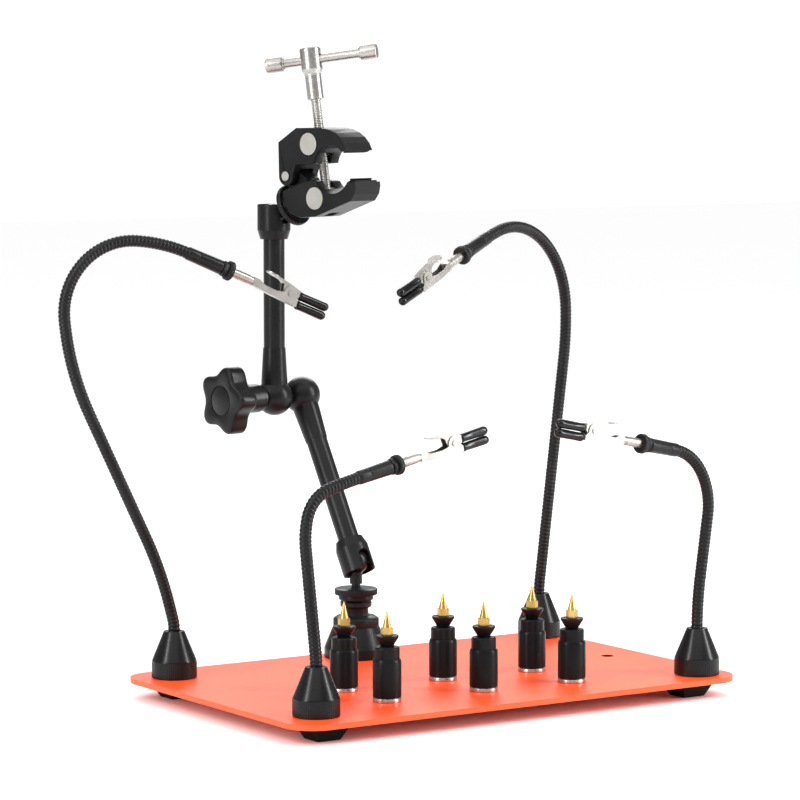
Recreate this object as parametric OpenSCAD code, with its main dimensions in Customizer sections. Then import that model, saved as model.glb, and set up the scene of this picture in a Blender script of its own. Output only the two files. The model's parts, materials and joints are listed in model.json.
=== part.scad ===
// Magnetic work-holding station for circuit boards: a steel plate on rubber feet that carries
// six board posts, four gooseneck arms with alligator clips, and a jointed arm with a bar clamp.
// The origin is at the centre of the plate, at the level of the bench. +X is to the right along
// the plate's long side, +Y is to the rear and +Z is up.

/* [Plate] */
// Length of the steel plate along X
plate_length = 300; // [290:5:340]
// Depth of the steel plate along Y
plate_depth = 200; // [190:5:240]
// Thickness of the steel plate
plate_thickness = 3; // [2:0.5:5]
// Corner radius of the plate
plate_corner = 18; // [8:1:25]
// Diameter of the hanging hole near the right-hand edge
hanging_hole_d = 7.5; // [5:0.5:10]
// Height of the rubber feet
foot_height = 9; // [5:0.5:12]
// Side of a foot where it meets the plate
foot_top = 23; // [16:1:26]
// Side of a foot where it meets the bench
foot_bottom = 14; // [10:1:16]

/* [Board posts] */
// Diameter of a post and of its magnet
post_d = 16; // [14:0.5:18]
// Height of a post's magnet
post_magnet_height = 2.5; // [2:0.5:4]
// Height of the shoulder of a post above the plate
post_shoulder = 23.8; // [22:0.1:28]
// Diameter of the sprung sleeve
sleeve_d = 14; // [12.5:0.5:14.5]
// Height of the sleeve's top above the plate
sleeve_top = 30.6; // [29:0.1:33]
// Diameter of the cone head's rim
head_d = 13; // [11:0.5:14]
// Height of the cone head's top above the plate
head_top = 36.9; // [36:0.1:39]
// Height of the brass point above the plate
spike_top = 50.6; // [46:0.2:54]

/* [Gooseneck arms] */
// Diameter of the base cone
cone_d = 26; // [24:1:30]
// Height of the base cone
cone_height = 27; // [24:1:32]
// Diameter of the gooseneck
hose_d = 7; // [6:0.5:8]
// Length of the ferrule at the gooseneck's end
ferrule_length = 22; // [18:1:26]
// Diameter of the thumb nut
nut_d = 11.4; // [10:0.2:13]

/* [Clip] */
// Distance from the ferrule's end to the clip's rivet
clip_rivet_x = 45; // [42:0.5:48]
// Distance from the ferrule's end to the tips of the boots
clip_length = 71.5; // [68:0.5:76]
// Outer width of the clip across its ears
clip_width = 6; // [5.6:0.1:7]
// Diameter of a rubber boot
boot_d = 5; // [4.4:0.1:5]

/* [Jointed arm] */
// Distance from a ball's centre to the elbow
link_length = 108; // [100:2:120]
// Lean of the lower link from the vertical
link_lean = 28; // [10:1:30]
// Diameter of a link's rod
rod_d = 12.6; // [11:0.2:13]
// Diameter of a socket
socket_d = 19.7; // [19:0.1:20.5]
// Diameter of a ball
ball_d = 15; // [14:0.5:15]
// Diameter of an elbow's round end
elbow_d = 22; // [20:1:23]
// Diameter of a knurled lock disc
disc_d = 25.6; // [24:0.2:28]
// Diameter over the lobes of the elbow knob
knob_d = 42; // [38:1:46]

/* [Bar clamp] */
// Width of the clamp's jaws
jaw_width = 22; // [20:1:26]
// Diameter of the two barrels that the screw passes through
barrel_d = 13; // [12:0.5:13.5]
// Distance between the two barrels
barrel_gap = 32; // [31:0.5:34]
// Diameter of the clamp screw
screw_d = 6; // [5:0.5:6.5]
// Length of the sliding bar
bar_length = 67; // [60:1:80]
// Diameter of the sliding bar
bar_d = 5.4; // [4:0.2:6]

/* [Hidden] */

$fn = 64;
top = foot_height + plate_thickness;
// Radial gap of a piece that turns or slides in another
fit = 0.05;
// Overlap that makes a cut run past the face it starts from
past = 0.5;

rubber_black = [0.06, 0.06, 0.065];
anodised = [0.10, 0.10, 0.11];
nickel = [0.78, 0.76, 0.73];
brass = [0.80, 0.62, 0.28];
orange = [0.96, 0.30, 0.12];

// ---------------------------------------------------------------- placing

// Where each board post stands on the plate
post_places = [[-70.2, -15.9], [-68.2, -56.9], [-3.2, -15.9], [-4.3, -58.2], [56.7, -19.2], [54.2, -61.7]];
// Where each gooseneck arm stands, and the way its clip points: [x, y, turn about Z]
arm_places = [[-127, 76, -8], [-125, -74, 6], [130, -80, 186], [135, 83, 200]];
// The bends of each gooseneck, from its cone to its ferrule: [length, turn towards the clip]
arm_bends = [
    [[12, 0], [8, -14.5], [8.5, 0], [40.5, -10.5], [80, 0], [55.5, 20], [69.5, 99], [33, 19]],
    [[12, 0], [8, -6.5], [56, 0], [16.5, 19.5], [22, 62], [21.5, 4]],
    [[12, 0], [30, -9], [35, 0], [29.5, 46.5], [22.5, 41]],
    [[12, 0], [8, -10.5], [137.5, 0], [30.5, 13], [33.5, 37], [68, 66], [11.5, 4.5]]
];
// Where the jointed arm stands, and its turn about Z
jointed_place = [0, 81, 7];
// Height of the lower ball's centre above the plate
ball_height = 57;
// The upper link lies this far beside the lower one
link_offset = 21;
// The upper stud and the clamp: turn about Z, rise of the stud, lean of the clamp
clamp_turn = 8;
stud_rise = 23.5;
clamp_lean = 9;
// The lower barrel's centre, ahead of and above the upper ball in the clamp's own plane
clamp_reach = [44.6, 4.8];

module on_plate(place) {
    translate([place[0], place[1], top]) children();
}

module at_arm(i) {
    on_plate(arm_places[i]) rotate([0, 0, arm_places[i][2]]) children();
}

module at_jointed_arm() {
    on_plate(jointed_place) rotate([0, 0, jointed_place[2]]) children();
}

// The end of a chain of bends, as [x, z, heading], with the heading counted from +Z towards +X
function bend_end(at, bend) =
    let (run = bend[0], turn = bend[1])
    turn == 0
    ? [at[0] + run * sin(at[2]), at[1] + run * cos(at[2]), at[2]]
    : let (radius = run * 180 / (PI * turn))
      [at[0] + radius * (cos(at[2]) - cos(at[2] + turn)),
       at[1] + radius * (sin(at[2] + turn) - sin(at[2])),
       at[2] + turn];
function chain_end(bends, at, count) =
    count == 0 ? at : bend_end(chain_end(bends, at, count - 1), bends[count - 1]);
// Height above the plate at which a gooseneck starts, inside its cone
hose_start = cone_height - 12;

// The clip's own frame: the origin at the ferrule's end, +X along the clip, +Z towards its lever
module at_clip(i) {
    end = chain_end(arm_bends[i], [0, hose_start, 0], len(arm_bends[i]));
    at_arm(i)
        translate([end[0], 0, end[1]])
        rotate([0, end[2] - 90, 0])
        translate([ferrule_length, 0, 0])
        children();
}

// The lower link's frame: the origin at the lower ball, +Z towards the elbow
module at_lower_link() {
    at_jointed_arm() translate([0, 0, ball_height]) rotate([-link_lean, 0, 0]) children();
}

// The elbow's frame: the origin at the lower link's round end, +X away from the knob
elbow_y = link_length * sin(link_lean);
elbow_z = ball_height + link_length * cos(link_lean);
module at_elbow() {
    at_jointed_arm() translate([0, elbow_y, elbow_z]) children();
}

// The upper link's frame: the origin at the upper ball, +Z away from the elbow
module at_upper_ball() {
    at_elbow() translate([-link_offset, 0, link_length]) children();
}

// The upper stud's frame: the origin at the upper ball, +Z along the stud towards the clamp
module at_upper_stud() {
    at_upper_ball() rotate([0, 0, clamp_turn]) rotate([90 - stud_rise, 0, 0]) children();
}

// The clamp's frame: the origin at the lower barrel, +X ahead to the tips of the jaws,
// +Y up along the screw, and +Z along the barrel
module at_clamp() {
    at_upper_ball()
        rotate([0, 0, clamp_turn])
        rotate([-clamp_lean, 0, 0])
        translate([0, -clamp_reach[0], clamp_reach[1]])
        rotate([0, -90, 0])
        rotate([0, 0, -90])
        children();
}

// ---------------------------------------------------------------- shapes

// A ring or disc along +Z from z0 to z1
module disc(z0, z1, d, top_d = -1, bore = 0) {
    difference() {
        translate([0, 0, z0]) cylinder(h = z1 - z0, d1 = d, d2 = top_d < 0 ? d : top_d);
        if (bore > 0) translate([0, 0, z0 - past]) cylinder(h = z1 - z0 + 2 * past, d = bore);
    }
}

// A round bar along +X from x0 to x1
module bar_x(x0, x1, d, end_d = -1) {
    translate([x0, 0, 0]) rotate([0, 90, 0]) cylinder(h = x1 - x0, d1 = d, d2 = end_d < 0 ? d : end_d);
}

// A plate with round corners, centred on the origin
module round_plate(length, depth, radius, height) {
    linear_extrude(height) {
        square([length - 2 * radius, depth], center = true);
        square([length, depth - 2 * radius], center = true);
        for (x = [-1, 1], y = [-1, 1])
            translate([x * (length / 2 - radius), y * (depth / 2 - radius)]) circle(radius);
    }
}

// ---------------------------------------------------------------- plate

hole_inset = 24.5;
foot_inset = [26, 21.5];

module base_plate() {
    color(orange)
        translate([0, 0, foot_height])
        difference() {
            round_plate(plate_length, plate_depth, plate_corner, plate_thickness);
            translate([plate_length / 2 - hole_inset, 0, -past])
                cylinder(h = plate_thickness + 2 * past, d = hanging_hole_d);
        }
}

module rubber_feet() {
    color(rubber_black)
        for (x = [-1, 1], y = [-1, 1])
            translate([x * (plate_length / 2 - foot_inset[0]), y * (plate_depth / 2 - foot_inset[1]), 0])
                rotate([0, 0, 45])
                cylinder(h = foot_height, d1 = foot_bottom * sqrt(2), d2 = foot_top * sqrt(2), $fn = 4);
}

arm_magnet_d = 20;
arm_magnet_height = 5;
jointed_magnet_d = 30;

// The magnet discs under the four cones and under the jointed arm's base
module base_magnets() {
    color(nickel) {
        for (place = arm_places) on_plate(place) disc(0, arm_magnet_height, arm_magnet_d);
        on_plate(jointed_place) disc(0, arm_magnet_height, jointed_magnet_d);
    }
}

// ---------------------------------------------------------------- board posts

post_floor = 9;
sleeve_skirt = 17;
sleeve_bore = 7.8;
stud_d = 5;
head_foot_d = 7.3;
head_foot = sleeve_top + 0.5;
head_rim = 1.2;
spike_thread_d = 3;
spike_thread = 5;
hex_flats = 6;
hex_height = 4.3;
spike_d = 5;
spike_tip_d = 0.6;
spring_d = 10.6;
spring_wire = 1.1;
spring_turns = 4;
shoulder_chamfer = 1.5;

module each_post() {
    for (place = post_places) on_plate(place) children();
}

module post_magnets() {
    color(nickel) each_post() disc(0, post_magnet_height, post_d);
}

module post_bodies() {
    color(anodised) each_post() difference() {
        union() {
            disc(post_magnet_height, post_shoulder - shoulder_chamfer, post_d);
            disc(post_shoulder - shoulder_chamfer, post_shoulder, post_d, sleeve_d + 1);
        }
        translate([0, 0, post_floor]) cylinder(h = post_shoulder, d = sleeve_d + 2 * fit);
        translate([0, 0, post_magnet_height + 1]) cylinder(h = post_floor, d = stud_d + 0.1);
    }
}

module post_springs() {
    pitch = (sleeve_skirt - post_floor - spring_wire - 0.2) / (spring_turns - 1);
    color(nickel) each_post()
        for (turn = [0:spring_turns - 1])
            translate([0, 0, post_floor + 0.1 + spring_wire / 2 + turn * pitch])
                rotate_extrude() translate([(spring_d - spring_wire) / 2, 0]) circle(d = spring_wire, $fn = 16);
}

module post_heads() {
    color(anodised) each_post() difference() {
        union() {
            disc(post_magnet_height + 1.2, head_foot, stud_d);
            disc(head_foot, head_top - head_rim, head_foot_d, head_d);
            disc(head_top - head_rim, head_top, head_d);
        }
        translate([0, 0, head_top - spike_thread]) cylinder(h = spike_thread + past, d = spike_thread_d + 0.1);
    }
}

module post_spikes() {
    color(brass) each_post() {
        disc(head_top - spike_thread + 0.3, head_top, spike_thread_d);
        translate([0, 0, head_top]) rotate([0, 0, 20])
            cylinder(h = hex_height, d = hex_flats / cos(30), $fn = 6);
        disc(head_top + hex_height, spike_top, spike_d, spike_tip_d);
    }
}

module post_sleeve(i) {
    color(anodised) on_plate(post_places[i]) disc(sleeve_skirt, sleeve_top, sleeve_d, bore = sleeve_bore);
}

// ---------------------------------------------------------------- gooseneck arms

cone_skirt = 10;
cone_tip_d = 11.8;

module arm_cone(i) {
    color(anodised) at_arm(i) difference() {
        union() {
            disc(0.1, cone_skirt, cone_d);
            disc(cone_skirt, cone_height, cone_d, cone_tip_d);
        }
        translate([0, 0, -past]) cylinder(h = arm_magnet_height + 0.1 + past, d = arm_magnet_d + 2 * fit);
        translate([0, 0, hose_start - 0.1]) cylinder(h = cone_height, d = hose_d + 0.2);
    }
}

// Each stretch of a gooseneck stops this short of the next, inside the ring that joins them
stretch_gap = 0.2;
ring_length = 1.6;
ring_d = hose_d + 0.3;

// One stretch of a gooseneck along +Z, bent towards +X by the turn
module bent_bar(run, turn, d) {
    if (turn == 0) {
        translate([0, 0, stretch_gap]) cylinder(h = run - 2 * stretch_gap, d = d);
    } else {
        radius = run * 180 / (PI * abs(turn));
        gap_turn = abs(turn) * stretch_gap / run;
        mirror([turn < 0 ? 1 : 0, 0, 0])
            translate([radius, 0, 0])
            rotate([90, 0, 180])
            rotate([0, 0, gap_turn])
            rotate_extrude(angle = abs(turn) - 2 * gap_turn)
            translate([radius, 0])
            circle(d = d);
    }
}

ferrule_start_d = 7.8;
ferrule_end_d = 8.4;
shank_d = 4;
shank_length = 12;

// The gooseneck, and the ferrule pressed on its end
module gooseneck(i) {
    bends = arm_bends[i];
    color(anodised) {
        at_arm(i)
            for (k = [0:len(bends) - 1]) {
                at = chain_end(bends, [0, hose_start, 0], k);
                translate([at[0], 0, at[1]]) rotate([0, at[2], 0]) {
                    bent_bar(bends[k][0], bends[k][1], hose_d);
                    if (k > 0) cylinder(h = ring_length, d = ring_d, center = true);
                }
            }
        at_clip(i) difference() {
            bar_x(-ferrule_length - 0.8, 0, ferrule_start_d, ferrule_end_d);
            bar_x(-shank_length - 0.3, past, shank_d + 2 * fit);
        }
    }
}

nut_start = 0.4;
nut_collar = 3.1;
nut_end = 7;
nut_collar_d = 9.2;
barrel_x0 = 0.6;
barrel_x1 = 18.5;
neck_x1 = 22.5;
clip_barrel_d = 5.3;

module thumb_nut(i) {
    color(anodised) at_clip(i) difference() {
        union() {
            bar_x(nut_start, nut_start + nut_collar, nut_collar_d);
            bar_x(nut_start + nut_collar, nut_end, nut_d);
        }
        bar_x(nut_start - past, nut_end + past, clip_barrel_d + 2 * fit);
    }
}

sheet = 0.55;
rivet_z = 2;
rivet_d = 2;
rivet_head_d = 3.4;
rivet_head = 0.5;
jaw_tip_x = clip_length - 1.6;

// The boots start here, and lie this far to each side of the clip's middle
boot_x0 = 51.6;
boot_gap = 0.1;
// The tang of each jaw inside its boot: its width, and the lower and upper faces of both
tang_width = 2.6;
tang_z = [-3.6, -1.6, 1.8, 3.8];

// A side view in X and Z, drawn as [x, z], made width wide and centred across the clip
module clip_side(width) {
    rotate([90, 0, 0]) translate([0, 0, -width / 2]) linear_extrude(width) children();
}

// The lower jaw with its barrel, its rivet and the spring's coils on the rivet
module lower_jaw(i) {
    inner = clip_width - 2 * sheet;
    color(nickel) at_clip(i) {
        difference() {
            union() {
                bar_x(barrel_x0 - shank_length, barrel_x0, shank_d);
                bar_x(barrel_x0, barrel_x1, clip_barrel_d);
                bar_x(barrel_x1, neck_x1, clip_barrel_d - 0.5);
                intersection() {
                    clip_side(clip_width) {
                        polygon([[21, -2.4], [29, -3.1], [40, -3.7], [50.8, -4.2], [boot_x0 - 0.2, tang_z[0]],
                                 [jaw_tip_x, tang_z[0]], [jaw_tip_x, tang_z[1]], [boot_x0 - 0.2, tang_z[1]],
                                 [48.5, 1.5], [41.5, 1.5], [36, 0.2], [28, 0.6], [24, 2.4], [21, 2.4]]);
                        translate([clip_rivet_x, rivet_z]) circle(4.2);
                    }
                    // narrows from the ears to the barrel and to the tip
                    linear_extrude(20, center = true)
                        polygon([[20, -2.4], [34, -clip_width / 2], [50.8, -clip_width / 2],
                                 [boot_x0 - 0.2, -tang_width / 2], [jaw_tip_x, -tang_width / 2],
                                 [jaw_tip_x, tang_width / 2], [boot_x0 - 0.2, tang_width / 2],
                                 [50.8, clip_width / 2], [34, clip_width / 2], [20, 2.4]]);
                }
            }
            clip_side(inner) polygon([[24.5, -1.8], [29, -2.2], [40, -2.8], [50.3, -3.6], [50.3, 9], [24.5, 9]]);
        }
        // the rivet, staked outside both ears
        translate([clip_rivet_x, 0, rivet_z]) rotate([90, 0, 0]) {
            cylinder(h = clip_width + 0.2, d = rivet_d, center = true);
            for (side = [-1, 1])
                translate([0, 0, side * (clip_width + rivet_head) / 2])
                    cylinder(h = rivet_head, d = rivet_head_d, center = true);
            for (coil = [-1, 0, 1])
                translate([0, 0, coil * 0.9]) rotate_extrude() translate([1.25, 0]) circle(d = 0.7, $fn = 16);
        }
    }
}

// The upper jaw: the lever with its finger pad, two ears inside the lower jaw's, and the tip
module upper_jaw(i) {
    outer = clip_width - 2 * sheet - 0.2;
    inner = outer - 2 * sheet;
    color(nickel) at_clip(i) difference() {
        union() {
            intersection() {
                clip_side(outer) polygon([[33, 8.5], [38, 7.9], [44, 6.9], [50.8, 5.4], [boot_x0 - 0.2, tang_z[3]],
                                          [jaw_tip_x, tang_z[3]], [jaw_tip_x, tang_z[2]],
                                          [boot_x0 - 0.2, tang_z[2]], [49.5, 0.4], [46.5, -0.6], [43.5, -0.6],
                                          [40.5, 1.2], [39.3, 5.6], [37, 7], [33, 7.6]]);
                linear_extrude(30, center = true)
                    polygon([[28, -outer / 2], [50.8, -outer / 2], [boot_x0 - 0.2, -tang_width / 2],
                             [jaw_tip_x, -tang_width / 2], [jaw_tip_x, tang_width / 2],
                             [boot_x0 - 0.2, tang_width / 2], [50.8, outer / 2], [28, outer / 2]]);
            }
            // the finger pad, dished and tilted up
            translate([31.6, 0, 8.3]) rotate([0, 8, 0]) cylinder(h = 0.8, d = 8.4, center = true);
        }
        clip_side(inner) polygon([[39, -2], [50, -2], [50, 4.8], [44, 6.2], [39, 6.8]]);
        translate([clip_rivet_x, 0, rivet_z]) rotate([90, 0, 0])
            cylinder(h = clip_width, d = rivet_d + 2 * fit, center = true);
    }
}

// A rubber boot: a round-ended sleeve at height z, with a pocket for the jaw's tang
module boot(z, tang_low, tang_high) {
    color(rubber_black) difference() {
        translate([0, 0, z]) {
            bar_x(boot_x0, clip_length - boot_d / 2, boot_d);
            translate([clip_length - boot_d / 2, 0, 0]) sphere(d = boot_d);
        }
        translate([boot_x0 - past, -tang_width / 2 - fit, tang_low - fit])
            cube([jaw_tip_x - boot_x0 + past + 0.1, tang_width + 2 * fit, tang_high - tang_low + 2 * fit]);
    }
}

module lower_boot(i) {
    at_clip(i) boot(-boot_d / 2 - boot_gap, tang_z[0], tang_z[1]);
}

module upper_boot(i) {
    at_clip(i) boot(boot_d / 2 + boot_gap + 0.15, tang_z[2], tang_z[3]);
}

// ---------------------------------------------------------------- jointed arm

base_skirt_d = 38;
base_skirt = 6.2;
base_cone_top = 18.5;
base_neck_d = 27.4;
base_collar_d = 27.2;
base_collar_top = 24.6;
base_waist_d = 15;
base_waist_top = 30;
base_ring_d = 18.8;
base_ring_top = 33.2;
disc_step_d = 21;
disc_step_z = 33.6;
disc_z = 37.7;
disc_top = 41.2;
thread_d = 6.35;
thread_end = 20;
stud_neck_d = 5.3;
stud_neck_top = 43.6;
stud_round_d = 7.6;

module arm_base() {
    color(anodised) at_jointed_arm() difference() {
        union() {
            disc(0.1, base_skirt, base_skirt_d);
            disc(base_skirt, base_cone_top, base_skirt_d, base_neck_d);
            disc(base_cone_top, base_collar_top - 1.6, base_collar_d);
            disc(base_collar_top - 1.6, base_collar_top, base_collar_d, base_collar_d - 5);
            disc(base_collar_top, base_waist_top, base_waist_d + 1, base_waist_d);
            disc(base_waist_top, base_ring_top, base_ring_d);
        }
        translate([0, 0, -past]) cylinder(h = arm_magnet_height + 0.1 + past, d = jointed_magnet_d + 2 * fit);
        translate([0, 0, thread_end - 0.5]) cylinder(h = base_ring_top, d = thread_d + 2 * fit);
    }
}

// A lock disc in the stud's frame: distances are from the ball's centre, back along the stud
module lock_disc(step_far) {
    near = ball_height - disc_top;
    far = ball_height - disc_z;
    color(anodised) difference() {
        union() {
            disc(-far, -near, disc_d);
            disc(-step_far, -far, disc_step_d);
        }
        translate([0, 0, -step_far - past]) cylinder(h = step_far, d = thread_d + 2 * fit);
    }
}

// A ball, its round stud, its neck and its threaded shank, hanging down from the ball's centre
module ball_stud(shank) {
    color(anodised) {
        sphere(d = ball_d);
        disc(-(ball_height - stud_neck_top), 0, stud_round_d);
        disc(-(ball_height - disc_top) - 0.1, -(ball_height - stud_neck_top), stud_neck_d);
        disc(-shank, -(ball_height - disc_top) + 0.2, thread_d);
    }
}

module lower_lock_disc() {
    at_jointed_arm() translate([0, 0, ball_height]) lock_disc(ball_height - disc_step_z);
}

module lower_ball_stud() {
    at_jointed_arm() translate([0, 0, ball_height]) ball_stud(ball_height - thread_end);
}

socket_mouth = 7;
socket_shoulder = 8.3;
socket_end = 13.6;
socket_end_d = 16.4;
mouth_lip = 3.2;
notch_width = 8.6;
seam = 29.6;
neck_start = 10;
neck_d = 15.6;
seam_d = 13.4;
seam_gap = 0.3;
elbow_flat = 10.2;

// One link of the arm, with its socket at the origin and its round end link_length up +Z.
// side is the way the round end's flat face looks along X, and slot_turn turns the stud's slot about Z
module link(side, slot_turn = 0) {
    up = link_length;
    color(anodised) difference() {
        union() {
            disc(-socket_mouth, socket_shoulder, socket_d);
            disc(socket_shoulder, socket_end, socket_d, socket_end_d);
            disc(socket_end - 1, up - seam + 0.5, rod_d);
            disc(up - seam, up - neck_start, seam_d, neck_d);
            disc(up - neck_start - 0.5, up - 2, neck_d);
            translate([0, 0, up]) sphere(d = elbow_d);
        }
        // the ball's seat, the flared mouth and the slot for the stud
        sphere(d = ball_d + 2 * fit);
        translate([0, 0, -mouth_lip]) mirror([0, 0, 1])
            cylinder(h = socket_mouth, d1 = ball_d - 1.2, d2 = ball_d + 9);
        rotate([0, 0, slot_turn]) {
            translate([-notch_width / 2, -socket_d, -socket_mouth - past])
                cube([notch_width, socket_d, socket_mouth + past]);
            rotate([90, 0, 0]) cylinder(h = socket_d, d = notch_width);
        }
        // the joint face and the bolt's hole
        translate([side * (elbow_flat + 10), 0, up]) cube([20, elbow_d + 4, elbow_d + 4], center = true);
        translate([0, 0, up]) rotate([0, 90, 0]) cylinder(h = elbow_d + 4, d = bolt_d + 2 * fit, center = true);
    }
}

bolt_d = 6;

module lower_link() {
    at_lower_link() link(-1);
}

module upper_link() {
    at_upper_ball() mirror([0, 0, 1]) link(1, clamp_turn);
}

washer_d = 17;
washer_x = -link_offset - 10.8;
hub_x = washer_x - 2.6;
lobe_x1 = -link_offset - 28.3;
lobe_x0 = lobe_x1 - 12.7;
hub_d = 17;
lobes = 5;
lobe_d = 12;
cap_d = 17.7;

// The bolt through both round ends, fixed in the lower link
module elbow_bolt() {
    color(nickel) at_elbow() bar_x(lobe_x1 - 6, elbow_flat + 0.6, bolt_d);
}

// The knob: a round hub, lobes about its axis and a ring groove round the cap on its face
module elbow_knob() {
    color(anodised) at_elbow() difference() {
        union() {
            bar_x(hub_x, washer_x, washer_d - 1.4);
            bar_x(lobe_x1 - past, hub_x, hub_d);
            translate([lobe_x0, 0, 0]) rotate([0, 90, 0]) {
                cylinder(h = lobe_x1 - lobe_x0, d = knob_d - 14);
                for (k = [0:lobes - 1])
                    rotate([0, 0, k * 360 / lobes + 15])
                        translate([(knob_d - lobe_d) / 2, 0, 0])
                        cylinder(h = lobe_x1 - lobe_x0, d = lobe_d);
            }
        }
        bar_x(lobe_x1 - 6.5, washer_x + past, bolt_d + 2 * fit);
        translate([lobe_x0 - past, 0, 0]) rotate([0, 90, 0]) difference() {
            cylinder(h = 0.8 + past, d = cap_d + 0.8);
            translate([0, 0, -past]) cylinder(h = 2, d = cap_d);
        }
    }
}

module upper_ball_stud() {
    at_upper_stud() mirror([0, 0, 1]) ball_stud(stud_shank);
}

stud_shank = 30;

module upper_lock_disc() {
    at_upper_stud() mirror([0, 0, 1]) lock_disc(ball_height - disc_z + 0.4);
}

// ---------------------------------------------------------------- bar clamp

// The pivot lies as far from one barrel as from the other
pivot_x = -21;
pivot_y = barrel_gap / 2;
pivot_d = 4;
pivot_head_d = 5.6;
knuckle = 5.6;
tongue_width = 11;
screw_slot = 7.4;
// Turn of the stud from the clamp's X axis, in the clamp's own plane
stud_turn = stud_rise - clamp_lean;
rear_plane = ball_height - disc_z + 0.8;

// Everything on the jaw's side of the plane that the lock disc bears on, in the clamp's frame
module ahead_of_disc() {
    translate([-clamp_reach[0], -clamp_reach[1]]) rotate([0, 0, stud_turn])
        translate([rear_plane, -60]) square([150, 120]);
}

module jaw_extrude(width) {
    translate([0, 0, -width / 2]) linear_extrude(width) children();
}

module lower_jaw_outline() {
    difference() {
        intersection() {
            union() {
                polygon([[-25, 7.4], [-9, 10.4], [-1.5, 10.8], [3, 9.2], [24, 9.2], [28, 5.2], [33, 5],
                         [33, 2.5], [31.4, -1.8], [27.6, -5.4], [-1.5, -10.6], [-14, -9.6], [-21.5, -6], [-25, 0]]);
                circle(d = barrel_d + 5);
            }
            ahead_of_disc();
        }
        // the round throat that a tube lies in
        translate([15.5, 15.8]) circle(15);
    }
}

module upper_jaw_block() {
    difference() {
        union() {
            jaw_extrude(jaw_width)
                polygon([[-26.6, 16.5], [-24, 36.5], [-8.5, 42.8], [11, 39.9], [17, 38.1], [21.8, 35.5],
                         [25.6, 32.2], [28.4, 28.4],
                         [30, 23.8], [24.5, 23.8], [18, 18], [4, 20], [-4, 20.6], [-12, 21.6], [-15.4, 16]]);
            translate([pivot_x, pivot_y, 0]) cylinder(h = jaw_width, r = knuckle, center = true);
        }
        translate([14.5, 16, 0]) cylinder(h = jaw_width + 2 * past, r = 13, center = true);
    }
}

// The bore for the stud's thread, along the stud's axis
module stud_bore() {
    translate([-clamp_reach[0], -clamp_reach[1], 0])
        rotate([0, 90, stud_turn])
        cylinder(h = stud_shank + 0.6, d = thread_d + 2 * fit);
}

module clamp_lower_jaw() {
    color(anodised) at_clamp() difference() {
        union() {
            jaw_extrude(jaw_width) lower_jaw_outline();
            // the tongue that carries the pivot
            jaw_extrude(tongue_width) difference() {
                intersection() {
                    union() {
                        translate([pivot_x, pivot_y]) circle(knuckle - 0.3);
                        polygon([[-24, 3], [-26, 14], [-17, 19], [-9.5, 13], [-7, 3]]);
                    }
                    ahead_of_disc();
                }
                translate([pivot_x, pivot_y]) circle(d = pivot_d + 2 * fit);
            }
        }
        cylinder(h = jaw_width + 2 * past, d = barrel_d + 2 * fit, center = true);
        // the slot that lets the screw lean, and the groove under the pad
        translate([-screw_slot / 2 - 1.2, -20, -screw_slot / 2]) cube([screw_slot + 2.4, 40, screw_slot]);
        stud_bore();
        jaw_extrude(pad_width + 0.1) lower_pad_outline();
    }
}

module clamp_upper_jaw() {
    cheek_gap = tongue_width + 0.4;
    color(anodised) at_clamp() difference() {
        upper_jaw_block();
        // the gap between the two cheeks at the pivot
        translate([pivot_x, pivot_y, 0]) {
            cylinder(h = cheek_gap, r = knuckle + 2.2, center = true);
            cylinder(h = jaw_width + 2 * past, d = pivot_d + 2 * fit, center = true);
        }
        translate([-12, pivot_y - 4, 0]) cube([14, 14, cheek_gap], center = true);
        translate([0, barrel_gap, 0])
            cylinder(h = jaw_width + 2 * past, d = barrel_d + 2 * open_pivot_gap, center = true);
        translate([-screw_slot / 2 - 2, 15, -screw_slot / 2]) cube([screw_slot + 4, 40, screw_slot]);
        jaw_extrude(pad_width + 0.1) upper_pad_outline();
    }
}

// The upper barrel is carried by the screw, with this gap round it in the upper jaw
open_pivot_gap = 0.4;
pad_width = 18;

module lower_pad_outline() {
    polygon([[27.2, 4.4], [27.2, 7], [32.4, 7], [32.4, 3.2], [28.6, 3.2]]);
}

module upper_pad_outline() {
    polygon([[24.8, 22.4], [24.8, 25.4], [29, 25.4], [29, 22.4]]);
}

module lower_jaw_pad() {
    color(rubber_black) at_clamp() jaw_extrude(pad_width) difference() {
        lower_pad_outline();
        translate([20, 6]) square([20, 4]);
    }
}

module upper_jaw_pad() {
    color(rubber_black) at_clamp() jaw_extrude(pad_width) difference() {
        upper_pad_outline();
        translate([20, 18]) square([20, 5]);
    }
}

module clamp_pivot() {
    color(nickel) at_clamp() translate([pivot_x, pivot_y, 0]) {
        cylinder(h = jaw_width + 0.2, d = pivot_d, center = true);
        for (side = [-1, 1])
            translate([0, 0, side * (jaw_width / 2 + 0.35)])
                cylinder(h = 0.5, d = pivot_head_d, center = true);
    }
}

module clamp_barrel(y) {
    color(nickel) at_clamp() translate([0, y, 0]) difference() {
        cylinder(h = jaw_width + 0.4, d = barrel_d, center = true);
        rotate([90, 0, 0]) cylinder(h = barrel_d + 2, d = screw_d + 2 * fit, center = true);
    }
}

module lower_barrel() {
    clamp_barrel(0);
}

module upper_barrel() {
    clamp_barrel(barrel_gap);
}

screw_foot = -9;
shaft_y = 58;
shaft_d = 9.6;
tee_y = 73.5;
tee_d = 12.4;
tee_top = 88.6;
bar_y = 81.5;
bar_turn = 30;
bar_shift = 6.3;

// The screw, its plain shaft and the head that the bar slides through
module clamp_screw() {
    color(nickel) at_clamp() rotate([-90, 0, 0]) difference() {
        union() {
            disc(screw_foot, shaft_y + 0.2, screw_d);
            disc(shaft_y, tee_y, shaft_d);
            disc(tee_y, tee_top, tee_d);
        }
        translate([0, 0, bar_y]) rotate([0, 90, bar_turn])
            cylinder(h = tee_d + 2 * past, d = bar_d + 2 * fit, center = true);
    }
}

end_cap_d = 9;
end_cap_length = 11;

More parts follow.
